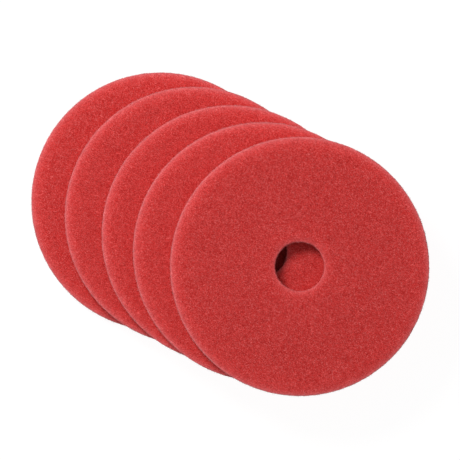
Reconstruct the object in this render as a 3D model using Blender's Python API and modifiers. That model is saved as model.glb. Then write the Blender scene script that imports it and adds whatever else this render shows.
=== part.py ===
"""Five round pads for a rotary floor machine, lying in a fan.

Each pad is one die-cut disc of bonded non-woven fibre web with a hole at its centre. The
pads lie flat on top of each other, each one pushed a hand's width past the one beneath.

Units are metres. +Z is up and +X runs along the fan, from the bottom pad to the top one.
The origin is under the middle of the fan, on the surface that the bottom pad lies on.
"""

import math

import bmesh
import bpy
from mathutils import Vector

INCH = 0.0254

# One pad
PAD_RADIUS = 17 * INCH / 2
HOLE_RADIUS = 3.25 * INCH / 2
PAD_THICKNESS = 1 * INCH

# A cutting die draws the web down beside each cut, mostly on the face that it enters.
# Each shoulder is a parabola: its width across the face, and its depth at the cut.
OUTER_TOP_SHOULDER = (0.024, 0.0032)
OUTER_BOTTOM_SHOULDER = (0.006, 0.0012)
HOLE_TOP_SHOULDER = (0.012, 0.0020)
HOLE_BOTTOM_SHOULDER = (0.004, 0.0008)
SHOULDER_SEGMENTS = 3
ROUND_SEGMENTS = 72

# How far each pad is pushed past the one beneath it: along the fan, and to its left.
FAN_STEPS = [
    (0.0615, 0.0017),
    (0.0693, -0.0020),
    (0.0595, -0.0037),
    (0.0669, 0.0040),
]
RESTING_GAP = 0.0003

SCREW_MERGE_DISTANCE = 0.00001
SMOOTH_ANGLE = math.radians(40)

WEB_RED = (0.515, 0.044, 0.040, 1.0)
WEB_ROUGHNESS = 0.85


def clear_scene():
    for old in list(bpy.data.objects):
        bpy.data.objects.remove(old, do_unlink=True)


def new_collection(name):
    collection = bpy.data.collections.new(name)
    bpy.context.scene.collection.children.link(collection)
    return collection


def web_material(name):
    """Red latex-bonded fibre: matt, and not metallic."""
    material = bpy.data.materials.new(name)
    material.use_nodes = True
    shader = material.node_tree.nodes["Principled BSDF"]
    shader.inputs["Base Color"].default_value = WEB_RED
    shader.inputs["Roughness"].default_value = WEB_ROUGHNESS
    shader.inputs["Metallic"].default_value = 0.0
    return material


def shoulder(wall_radius, towards_wall, face_height, up, size):
    """Points (radius, height) of one drawn-down edge, from the flat face to the wall.

    towards_wall is +1 where the wall is outside the web and -1 at the hole, and up is +1 on
    the top face and -1 on the bottom one.
    """
    width, depth = size
    points = []
    for step in range(SHOULDER_SEGMENTS + 1):
        share = step / SHOULDER_SEGMENTS
        radius = wall_radius - towards_wall * width * (1 - share)
        height = face_height - up * depth * share**2
        points.append((radius, height))
    return points


def pad_section():
    """The closed section of a pad: out along the top, down the wall, and back below."""
    top_hole = shoulder(HOLE_RADIUS, -1, PAD_THICKNESS, 1, HOLE_TOP_SHOULDER)
    top_outer = shoulder(PAD_RADIUS, 1, PAD_THICKNESS, 1, OUTER_TOP_SHOULDER)
    bottom_outer = shoulder(PAD_RADIUS, 1, 0, -1, OUTER_BOTTOM_SHOULDER)
    bottom_hole = shoulder(HOLE_RADIUS, -1, 0, -1, HOLE_BOTTOM_SHOULDER)
    return top_hole[::-1] + top_outer + bottom_outer[::-1] + bottom_hole


def pad_mesh(name):
    """The pad's section as a loop of edges in the XZ plane, which a Screw turns."""
    mesh = bpy.data.meshes.new(name)
    shape = bmesh.new()
    corners = [shape.verts.new((radius, 0, height)) for radius, height in pad_section()]
    for corner, following in zip(corners, corners[1:] + corners[:1]):
        shape.edges.new((corner, following))
    shape.to_mesh(mesh)
    shape.free()
    return mesh


def turn_full_circle(pad):
    screw = pad.modifiers.new("turned_section", "SCREW")
    screw.axis = "Z"
    screw.angle = 2 * math.pi
    screw.steps = ROUND_SEGMENTS
    screw.render_steps = ROUND_SEGMENTS
    screw.use_merge_vertices = True
    screw.merge_threshold = SCREW_MERGE_DISTANCE
    screw.use_smooth_shade = True


def shade_by_angle(pad):
    """Keeps the shoulders smooth and the faces flat."""
    graph = bpy.context.evaluated_depsgraph_get()
    turned = bpy.data.meshes.new_from_object(pad.evaluated_get(graph))
    pad.modifiers.clear()
    pad.data = turned
    turned.shade_smooth()
    turned.set_sharp_from_angle(angle=SMOOTH_ANGLE)


def make_pad(name, mesh, collection):
    pad = bpy.data.objects.new(name, mesh)
    collection.objects.link(pad)
    turn_full_circle(pad)
    shade_by_angle(pad)
    pad.data.name = name
    pad.data.materials.append(web_material(name + "_web"))
    return pad


def first_pad_place():
    """Where the bottom pad's centre lies, so that the origin is under the fan's middle."""
    places = [Vector((0, 0))]
    for step in FAN_STEPS:
        places.append(places[-1] + Vector(step))
    middle_x = (min(place.x for place in places) + max(place.x for place in places)) / 2
    middle_y = (min(place.y for place in places) + max(place.y for place in places)) / 2
    return (-middle_x, -middle_y, 0)


def make_fan():
    collection = new_collection("floor_pad_set")
    section = pad_mesh("pad_section")
    below = make_pad("pad_1", section, collection)
    below.location = first_pad_place()
    for number, (along, left) in enumerate(FAN_STEPS, start=2):
        pad = make_pad(f"pad_{number}", section, collection)
        pad.parent = below
        pad.location = (along, left, PAD_THICKNESS + RESTING_GAP)
        below = pad
    bpy.data.meshes.remove(section)


clear_scene()
make_fan()
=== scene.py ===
"""Looks of a fanned set of round floor pads: bonded non-woven fibre webs with die-cut edges.

Each pad is three pieces: the web itself, with its real relief and drawn-down cut edges, the
fibres that lie in and on its two faces, and the fibres and cut ends along its cut walls.
"""

import itertools
import math

import bpy
import numpy as np
from mathutils import Matrix, Vector


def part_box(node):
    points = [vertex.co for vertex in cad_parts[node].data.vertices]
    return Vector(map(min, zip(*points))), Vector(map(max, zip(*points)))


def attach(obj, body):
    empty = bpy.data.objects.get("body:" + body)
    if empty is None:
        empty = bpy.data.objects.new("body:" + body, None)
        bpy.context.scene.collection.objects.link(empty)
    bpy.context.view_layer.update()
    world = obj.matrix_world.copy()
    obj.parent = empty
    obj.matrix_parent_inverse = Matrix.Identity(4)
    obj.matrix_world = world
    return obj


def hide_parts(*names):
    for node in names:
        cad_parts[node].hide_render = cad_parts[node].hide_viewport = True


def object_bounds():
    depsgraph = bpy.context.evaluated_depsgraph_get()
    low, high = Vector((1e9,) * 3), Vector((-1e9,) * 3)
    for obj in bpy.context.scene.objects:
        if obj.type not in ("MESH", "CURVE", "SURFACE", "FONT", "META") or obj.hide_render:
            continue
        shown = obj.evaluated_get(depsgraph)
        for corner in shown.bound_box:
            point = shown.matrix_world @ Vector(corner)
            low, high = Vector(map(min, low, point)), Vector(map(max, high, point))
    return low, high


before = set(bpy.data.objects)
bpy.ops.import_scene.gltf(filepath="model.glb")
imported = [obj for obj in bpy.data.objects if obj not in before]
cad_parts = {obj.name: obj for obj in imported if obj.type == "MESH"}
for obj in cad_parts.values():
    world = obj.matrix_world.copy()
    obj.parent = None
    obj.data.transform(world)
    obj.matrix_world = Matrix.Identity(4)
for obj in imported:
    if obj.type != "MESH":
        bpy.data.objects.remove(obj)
cad_low, cad_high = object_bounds()

MM = 0.001
UP = np.array([0, 0, 1])

# The cut edges' shape: width across the face and depth at the cut, the same as on the solids
OUTER_TOP_SHOULDER = (24 * MM, 3.2 * MM)
OUTER_BOTTOM_SHOULDER = (6 * MM, 1.2 * MM)
HOLE_TOP_SHOULDER = (12 * MM, 2.0 * MM)
HOLE_BOTTOM_SHOULDER = (4 * MM, 0.8 * MM)
HOLE_TO_PAD = 3.25 / 17

# Mesh density of the web, which keeps each piece under 200,000 triangles. One more ring this
# far inside the outer rim keeps the rim's own slope narrow.
TOP_RING_SPACING = 2.2 * MM
BOTTOM_RING_SPACING = 3.4 * MM
WALL_RING_SPACING = 1.15 * MM
RIM_RING = 0.7 * MM
SECTION_SAMPLES = 2000
MOST_SEGMENTS = 880
FULL_DENSITY_RADIUS = 110 * MM
MESH_JITTER = 0.28

# How far the web and its fibres may stand out of a flat face, which a neighbour lies on
TOP_ALLOWANCE = 0.28 * MM
UNDER_ALLOWANCE = 0.0

# The relief's features: how far each stands proud or sinks, in millimetres
FACE_CLUMPS, FACE_CRESTS, FACE_PITS, FACE_GRAIN = 0.06, 0.05, 0.24, 0.14
FACE_SUNK = 0.12
WALL_LAYERS, WALL_TUFTS, WALL_PITS, WALL_GRAIN = 0.40, 0.34, 1.05, 0.16
SWELL = 0.22
SWELL_SPACING = 45 * MM
GRAIN_SPACING = 0.6 * MM

# The fibres: their thickness, how many each pad has, the points along each, and the ranges
# of their lengths in millimetres
FINEST, COARSEST = 0.15 * MM, 0.32 * MM
FACE_FIBRES, UNDER_FIBRES = 4300, 900
FACE_KNOTS = 7
FACE_LENGTHS = (7, 22)
WALL_FIBRES, HOLE_WALL_FIBRES = 2200, 400
WALL_KNOTS = 6
WALL_LENGTHS = (4, 13)
RIM_ENDS, HOLE_RIM_ENDS = 5000, 750
END_KNOTS = 4
END_LENGTHS = (0.9, 2.4)
END_ROOTS = (0.0, 1.3)

# How a fibre wanders: its steady curl, and its waver at each knot, in radians
CURL = 0.26
WAVER = 0.13

# How far face fibres keep from the cuts, the share of the wall's fibres that run level and
# how much of their slope is left, and how much a fibre thins towards its ends
FACE_MARGIN = 1 * MM
LEVEL_SHARE = 0.6
LEVEL_SLOPE = 0.25
TAPER = 0.55

# One cell of a fibre layer's noise in the web's material: along the fibre, across it and
# through the web. A crest is where the noise is within FIBRE_WIDTH of its middle.
FINE_CELL = (12 * MM, 1.2 * MM, 1.2 * MM)
BUNDLE_CELL = (14 * MM, 3.4 * MM, 2.4 * MM)
FINE_LAYERS, BUNDLE_LAYERS = 6, 4
FIBRE_WIDTH = 0.08

# Each layer's heading as a share of half a turn, the shift of its pattern, and how much
# lower the last layer lies than the first
LAYER_TURN = 0.618
LAYER_SHIFT = 0.37
LAYER_DEPTH = 0.45

# The slow noise that bends the layers: its size, and how far it pushes them
BEND_SIZE, BEND_REACH = 16 * MM, 9 * MM

# The sizes of the finer marks in the two materials: the small gaps in painted shade, the painted
# glints, and the fibres' uneven coat
VOID_SIZE = 1.8 * MM
GLINT_SIZE = 1.3 * MM
COAT_SIZE = 1.8 * MM

# How far a cut edge's paleness and its fainter brightness reach across a face, how far they
# reach down the wall, what is left of them further down, and how strong they are at the hole
PALE_REACH = 4.0 * MM
BRIGHT_REACH = 14 * MM
WALL_REACH = 2.5 * MM
WALL_SHARE = 0.25
HOLE_SHARE = 0.6
WEB_PALENESS, FIBRE_PALENESS = 0.75, 0.95

# The web's colour by the tangle's height: deeper fibres painted darker as shade, top fibres
# painted lighter as lit
RED_WITH_PAINTED_DEPTH_SHADE = [
    (0.0, (0.36, 0.006, 0.005, 1)),
    (0.45, (0.57, 0.020, 0.018, 1)),
    (0.8, (0.71, 0.045, 0.042, 1)),
    (1.0, (0.79, 0.105, 0.100, 1)),
]
RED_BY_TONE = [
    (0.0, (0.48, 0.014, 0.012, 1)),
    (0.5, (0.70, 0.048, 0.044, 1)),
    (1.0, (0.83, 0.150, 0.145, 1)),
]
# A dark red painted as shade into the web's pits, its small gaps and the spaces between fibre
# bundles
PAINTED_SHADE_RED = (0.33, 0.004, 0.003, 1)
# A pale red painted as glints on the top fibres
PAINTED_GLINT_RED = (0.82, 0.190, 0.185, 1)
WEB_RED_BY_CUT = [
    (0.0, (0.58, 0.080, 0.082, 1)),
    (0.6, (0.77, 0.175, 0.182, 1)),
    (1.0, (0.90, 0.300, 0.312, 1)),
]
FIBRE_RED_BY_CUT = [
    (0.0, (0.54, 0.170, 0.180, 1)),
    (1.0, (0.76, 0.520, 0.550, 1)),
]
RIM_GAIN = (1.30, 1.22, 1.22, 1)
SHEEN_TINT = (1.0, 0.72, 0.70, 1.0)

# The view: the image's right and up, turned so that the fan runs down to the right at 25
# degrees, the width that the image covers, and how far right and up its middle lies
FAN_TILT = math.radians(25)
IMAGE_RIGHT = Vector((math.cos(FAN_TILT), math.sin(FAN_TILT), 0))
IMAGE_UP = Vector((-math.sin(FAN_TILT), math.cos(FAN_TILT), 0))
FRAME_WIDTH = 0.7696
VIEW_RIGHT, VIEW_UP = 0.0006, 0.0078
LENS = 1400
SENSOR = 36
FARTHEST = 1000

# The studio
KEY_RIGHT, KEY_UP, KEY_RISE = -0.64, 0.77, 1.05
KEY_DISTANCE = 5.0
KEY_SIZE = 2.1
KEY_POWER = 200
ROOM_STRENGTH = 0.365
ROOM_SEEN_STRENGTH = 1.0
FLOOR_SIZE = 400
FLOOR_GAP = 0.5 * MM
FLOOR_COLOUR = (0.10, 0.10, 0.10, 1)
FLOOR_GLOW = 0.95
WHITE = (1, 1, 1, 1)

PAD_NODES = ["pad_1", "pad_2", "pad_3", "pad_4", "pad_5"]
SEED_STEP = 101


# ---- Repeatable noise -------------------------------------------------------------------

# The noise's lattice is turned off the axes, so that its rows don't show on flat faces
LATTICE_TURN = np.array(Matrix.Rotation(0.7, 3, "Z") @ Matrix.Rotation(0.5, 3, "X"))

# Large odd factors and shifts that scramble a cell's whole numbers into one hash
CELL_FACTORS = np.array([374761393, 668265263, 2246822519], np.uint32)
SEED_FACTOR = 3266489917
SCRAMBLES = [(np.uint32(13), np.uint32(1274126177)), (np.uint32(16), np.uint32(2654435761))]
LAST_SHIFT = np.uint32(15)


def cell_value(cells, seed):
    """A repeatable number from -1 to 1 for each whole-number cell (n, 3)."""
    products = cells.astype(np.int64).astype(np.uint32) * CELL_FACTORS
    hashed = products[:, 0] + products[:, 1] + products[:, 2]
    hashed += np.uint32(seed * SEED_FACTOR % 2**32)
    for shift, factor in SCRAMBLES:
        hashed = (hashed ^ (hashed >> shift)) * factor
    return (hashed ^ (hashed >> LAST_SHIFT)).astype(np.float64) / 2**31 - 1


def noise(points, spacing, seed):
    """Smooth noise from -1 to 1 at points (n, 3), with one knot every spacing metres.

    A spacing of three numbers stretches the lattice along the axes and leaves it unturned.
    """
    scaled = (points @ LATTICE_TURN.T if np.isscalar(spacing) else points) / spacing
    cell = np.floor(scaled).astype(np.int64)
    part = scaled - cell
    ease = part * part * (3 - 2 * part)
    total = np.zeros(len(points))
    for corner in itertools.product((0, 1), repeat=3):
        share = np.prod(np.where(corner, ease, 1 - ease), axis=1)
        total += share * cell_value(cell + corner, seed)
    return total


def ridges(points, spacing, seed):
    """Noise with thin crests, like strands: 1 on a crest, falling to 0 between them."""
    return 1 - np.abs(noise(points, spacing, seed)) * 2


# ---- The web's section --------------------------------------------------------------------


class Pad:
    """One pad's place and size, read from its CAD node, and its own random numbers."""

    def __init__(self, node, seed):
        low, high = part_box(node)
        self.node = node
        self.seed = seed
        self.centre = np.array([(low[0] + high[0]) / 2, (low[1] + high[1]) / 2, low[2]])
        self.radius = (high[0] - low[0]) / 2
        self.hole = self.radius * HOLE_TO_PAD
        self.thickness = high[2] - low[2]
        self.random = np.random.default_rng(seed)

    def top(self, radius):
        """The top face's height at each radius, without relief."""
        fall = drawn_down(self.radius - radius, OUTER_TOP_SHOULDER)
        return self.thickness - fall - drawn_down(radius - self.hole, HOLE_TOP_SHOULDER)

    def bottom(self, radius):
        """The bottom face's height at each radius, without relief."""
        rise = drawn_down(self.radius - radius, OUTER_BOTTOM_SHOULDER)
        return rise + drawn_down(radius - self.hole, HOLE_BOTTOM_SHOULDER)


def drawn_down(distance, shoulder):
    """How far a face is drawn down at each distance from a cut: a parabola."""
    width, depth = shoulder
    return depth * np.clip(1 - distance / width, 0, 1) ** 2


def evenly_spaced(line, spacing):
    """Points at about this spacing along a dense line (n, 2), both ends included."""
    steps = np.linalg.norm(np.diff(line, axis=0), axis=1)
    along = np.concatenate([[0], np.cumsum(steps)])
    count = max(2, round(along[-1] / spacing) + 1)
    wanted = np.linspace(0, along[-1], count)
    return np.stack([np.interp(wanted, along, line[:, i]) for i in (0, 1)], axis=1)


def section_rings(pad):
    """The closed section as rings (radius, height), and which of them lie underneath.

    It runs out along the top, down the outer wall, in along the bottom and up the hole. The
    faces are sampled most densely beside the cuts before they are spaced evenly.
    """
    shares = np.sin(np.linspace(-math.pi / 2, math.pi / 2, SECTION_SAMPLES)) / 2 + 0.5
    radii = pad.hole + (pad.radius - pad.hole) * shares
    top = evenly_spaced(np.stack([radii, pad.top(radii)], axis=1), TOP_RING_SPACING)
    beside_rim = pad.radius - RIM_RING
    top = np.insert(top, -1, [beside_rim, pad.top(beside_rim)], axis=0)
    bottom = np.stack([radii, pad.bottom(radii)], axis=1)[::-1]
    bottom = evenly_spaced(bottom, BOTTOM_RING_SPACING)
    outer = evenly_spaced(np.stack([top[-1], bottom[0]]), WALL_RING_SPACING)
    inner = evenly_spaced(np.stack([bottom[-1], top[0]]), WALL_RING_SPACING)
    rings = np.concatenate([top, outer[1:-1], bottom, inner[1:-1]])
    under = np.zeros(len(rings), bool)
    first_under = len(top) + len(outer) - 2
    under[first_under : first_under + len(bottom)] = True
    return rings, under


def section_normals(rings):
    """Each ring's directions in the section: out of the web, and on towards the next ring."""
    ahead = np.roll(rings, -1, axis=0) - np.roll(rings, 1, axis=0)
    ahead /= np.linalg.norm(ahead, axis=1, keepdims=True)
    return np.stack([-ahead[:, 1], ahead[:, 0]], axis=1), ahead


def segments_at(radius, under):
    """How many points a ring has: fewer near the hole and underneath."""
    count = MOST_SEGMENTS
    if radius < FULL_DENSITY_RADIUS:
        count //= 2
    if radius < FULL_DENSITY_RADIUS / 2:
        count //= 2
    return count // 2 if under else count


# ---- The web's mesh -----------------------------------------------------------------------


def ring_faces(first, second):
    """Faces between two rings of point numbers, where one may have twice as many points."""
    a, b = np.asarray(first), np.asarray(second)
    a_next, b_next = np.roll(a, -1), np.roll(b, -1)
    if len(a) == len(b):
        return np.stack([a, b, b_next, a_next], axis=1).tolist()
    if len(b) == 2 * len(a):
        parts = [(a, b[::2], b[1::2]), (a, b[1::2], a_next), (a_next, b[1::2], b_next[1::2])]
    else:
        parts = [(a[::2], b, a[1::2]), (a[1::2], b, b_next), (a[1::2], b_next, a_next[1::2])]
    return [face for part in parts for face in np.stack(part, axis=1).tolist()]


def face_relief(points, seed):
    """How far a face stands proud at each point, in metres: clumps, crests and pits."""
    clumps = noise(points, 8 * MM, seed)
    crests = ridges(points, 5.6 * MM, seed + 1) + ridges(points, 4.2 * MM, seed + 2)
    pits = np.maximum(0, noise(points, 4.4 * MM, seed + 3) - 0.2)
    grain = cell_value(np.floor(points / GRAIN_SPACING), seed + 4)
    raised = FACE_CLUMPS * clumps + FACE_CRESTS * crests
    return (raised - FACE_PITS * pits + FACE_GRAIN * grain - FACE_SUNK) * MM


def wall_relief(points, seed):
    """The same on a cut wall, where the die left the web's flat layers open."""
    layers = noise(points, np.array([14, 14, 2.8]) * MM, seed + 5)
    tufts = noise(points, np.array([4.6, 4.6, 3.2]) * MM, seed + 6)
    pits = np.maximum(0, noise(points, np.array([6, 6, 2.8]) * MM, seed + 7) - 0.1)
    grain = cell_value(np.floor(points / GRAIN_SPACING), seed + 8)
    raised = WALL_LAYERS * layers + WALL_TUFTS * tufts
    return (raised - WALL_PITS * pits + WALL_GRAIN * grain) * MM


def relief(points, normals, seed):
    """How far the web stands proud of its smooth form, held back where a neighbour lies."""
    faceness = np.abs(normals[:, 2]) ** 2
    swell = SWELL * MM * noise(points, SWELL_SPACING, seed + 9)
    face = face_relief(points, seed) + swell
    proud = face * faceness + wall_relief(points, seed) * (1 - faceness)
    most = np.where(normals[:, 2] > 0, TOP_ALLOWANCE, UNDER_ALLOWANCE)
    return np.where(faceness > 0.5, np.minimum(proud, most), proud)


def web_points(pad, rings, under):
    """Every point of the smooth web, its outward direction, and its rings' point numbers.

    Each point is moved a little within the surface, so that the rings don't show.
    """
    out, along = section_normals(rings)
    gaps = np.linalg.norm(np.roll(rings, -1, axis=0) - rings, axis=1)
    room = np.minimum(gaps, np.roll(gaps, 1))
    points, normals, numbers = [], [], []
    start = 0
    for ring, (radius, height) in enumerate(rings):
        count = segments_at(radius, under[ring])
        shift = pad.random.uniform(-MESH_JITTER, MESH_JITTER, (2, count))
        angle = (np.arange(count) + shift[0]) * 2 * math.pi / count
        slide = shift[1] * room[ring] * abs(along[ring][0])
        reach = radius + slide * along[ring][0]
        across = np.stack([np.cos(angle), np.sin(angle), np.zeros(count)], axis=1)
        point = across * reach[:, None]
        point[:, 2] = height + slide * along[ring][1]
        points.append(point)
        normals.append(across * out[ring][0] + np.array([0, 0, out[ring][1]]))
        numbers.append(np.arange(start, start + count))
        start += count
    return np.concatenate(points), np.concatenate(normals), numbers


def nearness_to_cut(pad, points, reach):
    """1 on the outer upper rim and HOLE_SHARE on the hole's, falling away from each."""
    radius = np.hypot(points[:, 0], points[:, 1])
    from_rim = pad.top(np.clip(radius, pad.hole, pad.radius)) - points[:, 2]
    from_outside = np.exp(-np.maximum(pad.radius - radius, 0) / reach)
    from_hole = np.exp(-np.maximum(radius - pad.hole, 0) / reach)
    across = np.maximum(from_outside, from_hole * HOLE_SHARE)
    down = np.exp(-np.maximum(from_rim, 0) / WALL_REACH)
    return across * np.maximum(down, WALL_SHARE)


def mesh_object(name, points, faces, material):
    mesh = bpy.data.meshes.new(name)
    mesh.from_pydata(points.tolist(), [], faces)
    mesh.validate()
    mesh.shade_smooth()
    mesh.materials.append(material)
    made = bpy.data.objects.new(name, mesh)
    bpy.context.scene.collection.objects.link(made)
    return made


def point_values(made, name, values):
    attribute = made.data.attributes.new(name, "FLOAT", "POINT")
    attribute.data.foreach_set("value", values.astype(np.float32))


def mark_cuts(made, pad, points):
    """Values for the material: how pale and how bright each point is for a cut beside it."""
    point_values(made, "pale", nearness_to_cut(pad, points, PALE_REACH))
    point_values(made, "bright", nearness_to_cut(pad, points, BRIGHT_REACH))


def make_web(pad, material):
    rings, under = section_rings(pad)
    points, normals, numbers = web_points(pad, rings, under)
    proud = relief(points, normals, pad.seed)
    faces = []
    for first, second in zip(numbers, numbers[1:] + numbers[:1]):
        faces += ring_faces(first, second)
    shaped = points + normals * proud[:, None] + pad.centre
    web = mesh_object(f"{pad.node}_web", shaped, faces, material)
    point_values(web, "proud", proud / MM)
    mark_cuts(web, pad, points)
    return web


# ---- Loose fibres -------------------------------------------------------------------------


def wandering(random, count, knots, lengths):
    """Step lengths and headings of fibres, each with its own curl and a slight waver."""
    start = random.uniform(0, 2 * math.pi, (count, 1))
    curl = random.normal(0, CURL, (count, 1)) * np.arange(knots)
    waver = random.normal(0, WAVER, (count, knots)).cumsum(axis=1)
    return lengths[:, None] / (knots - 1), start + curl + waver


def on_circle(angle, radius, height):
    """Points (n, 3) on a circle round the pad's axis, and their outward directions."""
    facing = np.stack([np.cos(angle), np.sin(angle), np.zeros_like(angle)], axis=-1)
    points = facing * np.asarray(radius)[..., None]
    points[..., 2] = height
    return points, facing


def face_fibres(pad, count, upper):
    """Fibres that lie on a face and dip in and out of it, with the way they face."""
    random = pad.random
    radius = np.sqrt(random.uniform(pad.hole**2, pad.radius**2, count))
    place, _ = on_circle(random.uniform(0, 2 * math.pi, count), radius, 0)
    lengths = random.uniform(*FACE_LENGTHS, count) * MM
    step, heading = wandering(random, count, FACE_KNOTS, lengths)
    path = np.repeat(place[:, None], FACE_KNOTS, axis=1)
    path[..., 0] += (step * np.cos(heading)).cumsum(axis=1)
    path[..., 1] += (step * np.sin(heading)).cumsum(axis=1)
    reach = np.hypot(path[..., 0], path[..., 1])
    inside = np.clip(reach, pad.hole + FACE_MARGIN, pad.radius - FACE_MARGIN)
    path *= (inside / reach)[..., None]
    flat = path.reshape(-1, 3)
    reach = np.hypot(flat[:, 0], flat[:, 1])
    flat[:, 2] = pad.top(reach) if upper else pad.bottom(reach)
    facing = np.zeros_like(flat)
    facing[:, 2] = 1 if upper else -1
    lift = relief(flat, facing, pad.seed) + random.normal(-0.04 * MM, 0.12 * MM, len(flat))
    most = TOP_ALLOWANCE - FINEST if upper else -FINEST
    flat += facing * np.minimum(lift, most)[:, None]
    return flat.reshape(path.shape), facing.reshape(path.shape)


def wall_fibres(pad, count, wall_radius, outward):
    """Fibres that run round a cut wall, most of them level as the web's layers are."""
    random = pad.random
    lengths = random.uniform(*WALL_LENGTHS, count) * MM
    step, heading = wandering(random, count, WALL_KNOTS, lengths)
    level = random.uniform(size=(count, 1)) < LEVEL_SHARE
    heading = np.where(level, (heading - heading[:, :1]) * LEVEL_SLOPE, heading)
    angle = random.uniform(0, 2 * math.pi, (count, 1))
    angle = angle + (step * np.cos(heading)).cumsum(axis=1) / wall_radius
    low, high = pad.bottom(wall_radius) + 0.4 * MM, pad.top(wall_radius) - 0.2 * MM
    height = random.uniform(low, high, (count, 1)) + (step * np.sin(heading)).cumsum(axis=1)
    wall, away = on_circle(angle, np.full(angle.shape, wall_radius), np.clip(height, low, high))
    facing = (away * outward).reshape(-1, 3)
    points = wall.reshape(-1, 3)
    lift = relief(points, facing, pad.seed) + random.normal(0.04 * MM, 0.16 * MM, len(points))
    points = points + facing * lift[:, None]
    return points.reshape(wall.shape), facing.reshape(wall.shape)


def cut_ends(pad, count, wall_radius, outward):
    """Short cut ends that stand out of a wall, most of them along its upper rim.

    Each leaves its root along its heading and bends by its curl, no higher than the face.
    """
    random = pad.random
    low, high = pad.bottom(wall_radius) + 0.3 * MM, pad.top(wall_radius)
    height = high - (high - low) * random.uniform(0, 1, count) ** 3
    angle = random.uniform(0, 2 * math.pi, count)
    root, away = on_circle(angle, np.full(count, wall_radius), height)
    root -= away * outward * random.uniform(*END_ROOTS, (count, 1)) * MM
    heading = away * outward * 0.5 + random.normal(0, 0.6, (count, 3))
    heading[:, 2] += 0.2
    heading /= np.linalg.norm(heading, axis=1, keepdims=True)
    curl = random.normal(0, 0.35, (count, 3))
    share = np.linspace(0, 1, END_KNOTS)[None, :, None]
    length = random.uniform(*END_LENGTHS, (count, 1, 1)) * MM
    path = root[:, None] + length * (heading[:, None] * share + curl[:, None] * share**2)
    path[..., 2] = np.clip(path[..., 2], FINEST, pad.thickness)
    return path, np.repeat((away * outward + UP)[:, None], END_KNOTS, axis=1)


def tubes(paths, facing, thickness):
    """Closed three-sided tubes along paths (n, knots, 3), with a flat side towards facing.

    The facing is tilted a little, because a path straight along it would leave no side.
    """
    count, knots, _ = paths.shape
    along = np.gradient(paths, axis=1)
    along /= np.linalg.norm(along, axis=2, keepdims=True)
    side = np.cross(along, facing + 0.01)
    side /= np.linalg.norm(side, axis=2, keepdims=True)
    lift = np.cross(side, along)
    taper = 1 - TAPER * np.abs(np.linspace(-1, 1, knots)) ** 3
    half = thickness[:, None, None] / 2 * taper[None, :, None]
    corners = []
    for corner in range(3):
        turn = 2 * math.pi * corner / 3 - math.pi / 2
        corners.append(paths + half * (math.cos(turn) * side + math.sin(turn) * lift))
    points = np.stack(corners, axis=2).reshape(-1, 3)
    index = np.arange(count * knots * 3).reshape(count, knots, 3)
    a, b = index[:, :-1], index[:, 1:]
    sides = np.stack([a, b, np.roll(b, -1, axis=2), np.roll(a, -1, axis=2)], axis=-1)
    ends = np.concatenate([index[:, 0], index[:, -1, ::-1]])
    return points, sides.reshape(-1, 4).tolist() + ends.tolist()


def make_fibres(pad, name, groups, material):
    """Groups of fibres as one object, each fibre with a tone of its own."""
    random = pad.random
    points, faces, tones, start = [], [], [], 0
    for paths, facing in groups:
        thickness = random.uniform(FINEST, COARSEST, len(paths))
        made, made_faces = tubes(paths, facing, thickness)
        faces += [[corner + start for corner in face] for face in made_faces]
        tones.append(np.repeat(random.uniform(0, 1, len(paths)), paths.shape[1] * 3))
        points.append(made)
        start += len(made)
    points = np.concatenate(points)
    fibres = mesh_object(f"{pad.node}_{name}", points + pad.centre, faces, material)
    point_values(fibres, "tone", np.concatenate(tones))
    mark_cuts(fibres, pad, points)
    return fibres


def make_face_fibres(pad, material):
    groups = [face_fibres(pad, FACE_FIBRES, True), face_fibres(pad, UNDER_FIBRES, False)]
    return make_fibres(pad, "face_fibres", groups, material)


def make_cut_fibres(pad, material):
    groups = [
        wall_fibres(pad, WALL_FIBRES, pad.radius, 1),
        wall_fibres(pad, HOLE_WALL_FIBRES, pad.hole, -1),
        cut_ends(pad, RIM_ENDS, pad.radius, 1),
        cut_ends(pad, HOLE_RIM_ENDS, pad.hole, -1),
    ]
    return make_fibres(pad, "cut_fibres", groups, material)


# ---- Materials ----------------------------------------------------------------------------


def node(tree, kind, **settings):
    made = tree.nodes.new(kind)
    for name, value in settings.items():
        setattr(made, name, value)
    return made


def feed(tree, socket, value):
    """Links the socket to the value where that is another node's output, or else sets it."""
    if isinstance(value, bpy.types.NodeSocket):
        tree.links.new(value, socket)
    else:
        socket.default_value = value


def noise_texture(tree, coordinates, size, detail):
    """A noise texture with features about this size, in metres."""
    texture = node(tree, "ShaderNodeTexNoise")
    texture.inputs["Scale"].default_value = 1 / size
    texture.inputs["Detail"].default_value = detail
    tree.links.new(coordinates, texture.inputs["Vector"])
    return texture


def noise_value(tree, coordinates, size, detail):
    """Such a texture's grey value, from 0 to 1."""
    return noise_texture(tree, coordinates, size, detail).outputs["Fac"]


def remapped(tree, value, low, high, to_low, to_high):
    """The value's range low to high stretched to another, and held at its ends."""
    maps = node(tree, "ShaderNodeMapRange")
    ends = {"From Min": low, "From Max": high, "To Min": to_low, "To Max": to_high}
    for name, number in ends.items():
        maps.inputs[name].default_value = number
    tree.links.new(value, maps.inputs["Value"])
    return maps.outputs["Result"]


def maths(tree, operation, *values):
    """One step of arithmetic on one or two values, each a number or a socket."""
    made = node(tree, "ShaderNodeMath", operation=operation)
    for socket, value in zip(made.inputs, values):
        feed(tree, socket, value)
    return made.outputs["Value"]


# The sockets of a Mix node that take and give colours
MIX_SHARE, MIX_FIRST, MIX_SECOND = 0, 6, 7
MIX_RESULT = 2


def mixed(tree, share, first, second, blend="MIX"):
    """Two colours mixed by a share, which is a number or a socket, as each colour is."""
    made = node(tree, "ShaderNodeMix", data_type="RGBA", blend_type=blend)
    feed(tree, made.inputs[MIX_SHARE], share)
    feed(tree, made.inputs[MIX_FIRST], first)
    feed(tree, made.inputs[MIX_SECOND], second)
    return made.outputs[MIX_RESULT]


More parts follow.
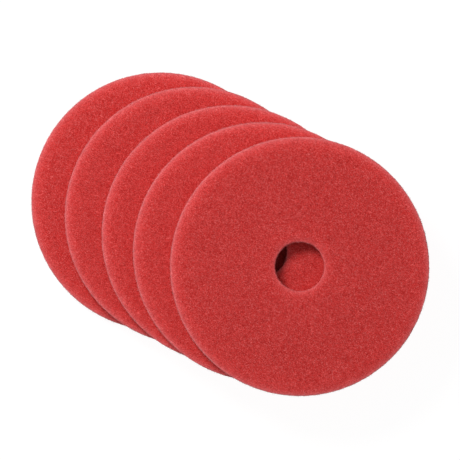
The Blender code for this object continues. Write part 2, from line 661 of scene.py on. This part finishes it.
def warped(tree, coordinates, size, reach):
    """The coordinates pushed about by a slow noise, mostly sideways, so that patterns bend."""
    texture = noise_texture(tree, coordinates, size, detail=1)
    shift = node(tree, "ShaderNodeVectorMath", operation="MULTIPLY_ADD")
    tree.links.new(texture.outputs["Color"], shift.inputs[0])
    shift.inputs[1].default_value = (reach, reach, reach * 0.3)
    tree.links.new(coordinates, shift.inputs[2])
    return shift.outputs["Vector"]


def fibre_layer(tree, coordinates, cell, heading, offset):
    """Long thin crests that run one way in the web's plane: 1 along a fibre, 0 between."""
    turned = node(tree, "ShaderNodeMapping", vector_type="TEXTURE")
    turned.inputs["Rotation"].default_value = (0, 0, heading)
    turned.inputs["Scale"].default_value = cell
    turned.inputs["Location"].default_value = (offset, offset, offset)
    tree.links.new(coordinates, turned.inputs["Vector"])
    texture = noise_value(tree, turned.outputs["Vector"], 1.0, detail=0)
    away = maths(tree, "ABSOLUTE", maths(tree, "SUBTRACT", texture, 0.5))
    return remapped(tree, away, 0.0, FIBRE_WIDTH, 1.0, 0.0)


def fibre_tangle(tree, bent, cell, layers):
    """Layers of fibres at many headings, the deeper ones lower: 1 on a top fibre, 0 in a void."""
    tangle = None
    for layer in range(layers):
        heading = math.pi * (layer * LAYER_TURN % 1)
        crest = fibre_layer(tree, bent, cell, heading, LAYER_SHIFT * (layer + 1))
        level = maths(tree, "MULTIPLY", crest, 1 - LAYER_DEPTH * layer / (layers - 1))
        tangle = level if tangle is None else maths(tree, "MAXIMUM", tangle, level)
    return tangle


def ramp(tree, value, stops):
    """A colour for each value, from stops of (position, colour)."""
    made = node(tree, "ShaderNodeValToRGB")
    elements = made.color_ramp.elements
    while len(elements) < len(stops):
        elements.new(0.5)
    for element, (position, colour) in zip(elements, stops):
        element.position = position
        element.color = colour
    tree.links.new(value, made.inputs["Fac"])
    return made.outputs["Color"]


def new_material(name):
    """A matt latex-coated material with a little sheen, and its object coordinates."""
    material = bpy.data.materials.new(name)
    material.use_nodes = True
    tree = material.node_tree
    shader = tree.nodes["Principled BSDF"]
    shader.inputs["Specular IOR Level"].default_value = 0.25
    shader.inputs["Sheen Weight"].default_value = 0.08
    shader.inputs["Sheen Roughness"].default_value = 0.5
    shader.inputs["Sheen Tint"].default_value = SHEEN_TINT
    return material, tree, shader, node(tree, "ShaderNodeTexCoord").outputs["Object"]


def stored(tree, name):
    """A value that each point of the mesh holds under this name."""
    return node(tree, "ShaderNodeAttribute", attribute_name=name).outputs["Fac"]


def near_cuts(tree, red, texture, pale_stops, paleness):
    """The red made brighter and paler near a cut, without losing its texture."""
    red = mixed(tree, stored(tree, "bright"), red, RIM_GAIN, blend="MULTIPLY")
    pale = maths(tree, "MULTIPLY", stored(tree, "pale"), paleness)
    return mixed(tree, pale, red, ramp(tree, texture, pale_stops))


def bumped(tree, shader, height, depth, strength):
    """The height, from 0 to 1, shaded as if it were this deep, in metres."""
    bump = node(tree, "ShaderNodeBump")
    bump.inputs["Strength"].default_value = strength
    bump.inputs["Distance"].default_value = depth
    tree.links.new(height, bump.inputs["Height"])
    tree.links.new(bump.outputs["Normal"], shader.inputs["Normal"])


def web_material():
    """Red latex-bonded fibre with pale cuts: deeper fibres, pits and gaps in painted shade, top
    fibres painted lighter, and painted glints.
    """
    material, tree, shader, place = new_material("red_fibre_web")
    bent = warped(tree, place, BEND_SIZE, BEND_REACH)
    tangle = fibre_tangle(tree, bent, FINE_CELL, FINE_LAYERS)
    bundles = fibre_tangle(tree, bent, BUNDLE_CELL, BUNDLE_LAYERS)
    # Painted shade and light: the deeper fibres darker, the top ones lighter
    red = ramp(tree, tangle, RED_WITH_PAINTED_DEPTH_SHADE)
    # Painted shade between the bundles of fibres
    painted_shade_between_bundles = remapped(tree, bundles, 0.5, 0.0, 0, 0.25)
    red = mixed(tree, painted_shade_between_bundles, red, PAINTED_SHADE_RED)
    # Painted shade in small gaps of the web, in a noise pattern
    painted_gap_shade = remapped(tree, noise_value(tree, place, VOID_SIZE, detail=1), 0.50, 0.72, 0, 0.60)
    red = mixed(tree, painted_gap_shade, red, PAINTED_SHADE_RED)
    # Painted shade where the relief sinks into pits
    painted_pit_shade = remapped(tree, stored(tree, "proud"), -0.25, -0.9, 0, 0.55)
    red = mixed(tree, painted_pit_shade, red, PAINTED_SHADE_RED)
    # Painted highlights: pale glints on the top fibres
    painted_glints = remapped(tree, noise_value(tree, place, GLINT_SIZE, detail=0), 0.55, 0.75, 0, 0.8)
    red = mixed(tree, maths(tree, "MULTIPLY", painted_glints, tangle), red, PAINTED_GLINT_RED)
    # The pale ramp near the cuts follows the tangle too, so the painted depth shade carries into
    # it
    red = near_cuts(tree, red, tangle, WEB_RED_BY_CUT, WEB_PALENESS)
    tree.links.new(red, shader.inputs["Base Color"])
    tree.links.new(remapped(tree, tangle, 0, 1, 0.95, 0.7), shader.inputs["Roughness"])
    bumped(tree, shader, tangle, 0.35 * MM, 0.6)
    return material


def fibre_material():
    """One latex-coated fibre: its own tone, uneven along its length, pale where it is cut."""
    material, tree, shader, place = new_material("red_fibre")
    coat = noise_value(tree, place, COAT_SIZE, detail=2)
    unevenness = remapped(tree, coat, 0.3, 0.7, -0.35, 0.35)
    tone = maths(tree, "ADD", stored(tree, "tone"), unevenness)
    red = ramp(tree, tone, RED_BY_TONE)
    red = near_cuts(tree, red, tone, FIBRE_RED_BY_CUT, FIBRE_PALENESS)
    tree.links.new(red, shader.inputs["Base Color"])
    tree.links.new(remapped(tree, coat, 0.3, 0.7, 0.8, 0.5), shader.inputs["Roughness"])
    bumped(tree, shader, coat, 0.05 * MM, 0.4)
    return material


# ---- The studio ---------------------------------------------------------------------------


def make_camera():
    """Straight above the fan, and so far away that the picture has no perspective."""
    data = bpy.data.cameras.new("camera")
    data.lens = LENS
    data.sensor_width = SENSOR
    data.clip_end = FARTHEST
    camera = bpy.data.objects.new("camera", data)
    bpy.context.scene.collection.objects.link(camera)
    middle_height = (cad_low[2] + cad_high[2]) / 2
    distance = FRAME_WIDTH * LENS / SENSOR
    view_centre = VIEW_RIGHT * IMAGE_RIGHT + VIEW_UP * IMAGE_UP
    camera.location = view_centre + Vector((0, 0, middle_height + distance))
    camera.rotation_euler = (0, 0, FAN_TILT)
    bpy.context.scene.camera = camera


def area_light(name, towards, distance, size, power):
    """A soft lamp that faces the fan's middle from this direction."""
    data = bpy.data.lights.new(name, "AREA")
    data.shape = "DISK"
    data.size = size
    data.energy = power
    lamp = bpy.data.objects.new(name, data)
    bpy.context.scene.collection.objects.link(lamp)
    direction = Vector(towards).normalized()
    lamp.location = direction * distance
    lamp.rotation_euler = direction.to_track_quat("Z", "Y").to_euler()
    lamp.visible_camera = False


def make_lights():
    """One soft lamp from the upper left, and a pale room that the camera sees as white."""
    upper_left = KEY_RIGHT * IMAGE_RIGHT + KEY_UP * IMAGE_UP
    towards = upper_left + Vector((0, 0, KEY_RISE))
    area_light("key", towards, KEY_DISTANCE, KEY_SIZE, KEY_POWER)
    world = bpy.data.worlds.new("studio")
    world.use_nodes = True
    tree = world.node_tree
    background = tree.nodes["Background"]
    background.inputs["Color"].default_value = WHITE
    seen = node(tree, "ShaderNodeLightPath").outputs["Is Camera Ray"]
    strength = remapped(tree, seen, 0, 1, ROOM_STRENGTH, ROOM_SEEN_STRENGTH)
    tree.links.new(strength, background.inputs["Strength"])
    bpy.context.scene.world = world


def make_floor():
    """A white light table, which takes next to no shadow."""
    bpy.ops.mesh.primitive_plane_add(size=FLOOR_SIZE)
    floor = bpy.context.object
    floor.name = "floor"
    material = bpy.data.materials.new("white_table")
    material.use_nodes = True
    shader = material.node_tree.nodes["Principled BSDF"]
    shader.inputs["Base Color"].default_value = FLOOR_COLOUR
    shader.inputs["Roughness"].default_value = 0.9
    shader.inputs["Specular IOR Level"].default_value = 0.0
    shader.inputs["Emission Color"].default_value = WHITE
    shader.inputs["Emission Strength"].default_value = FLOOR_GLOW
    floor.data.materials.append(material)
    floor.location.z = cad_low[2] - FLOOR_GAP


def set_view_transform():
    settings = bpy.context.scene.view_settings
    settings.view_transform = "Standard"
    settings.look = "None"


# ---- Assembly -----------------------------------------------------------------------------


def make_pads():
    web_red, fibre_red = web_material(), fibre_material()
    for number, node_name in enumerate(PAD_NODES, start=1):
        pad = Pad(node_name, seed=SEED_STEP * number)
        web = make_web(pad, web_red)
        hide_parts(node_name)
        face_strands = make_face_fibres(pad, fibre_red)
        cut_strands = make_cut_fibres(pad, fibre_red)
        for piece in (web, face_strands, cut_strands):
            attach(piece, node_name)


make_camera()
make_pads()
make_lights()
make_floor()
set_view_transform()
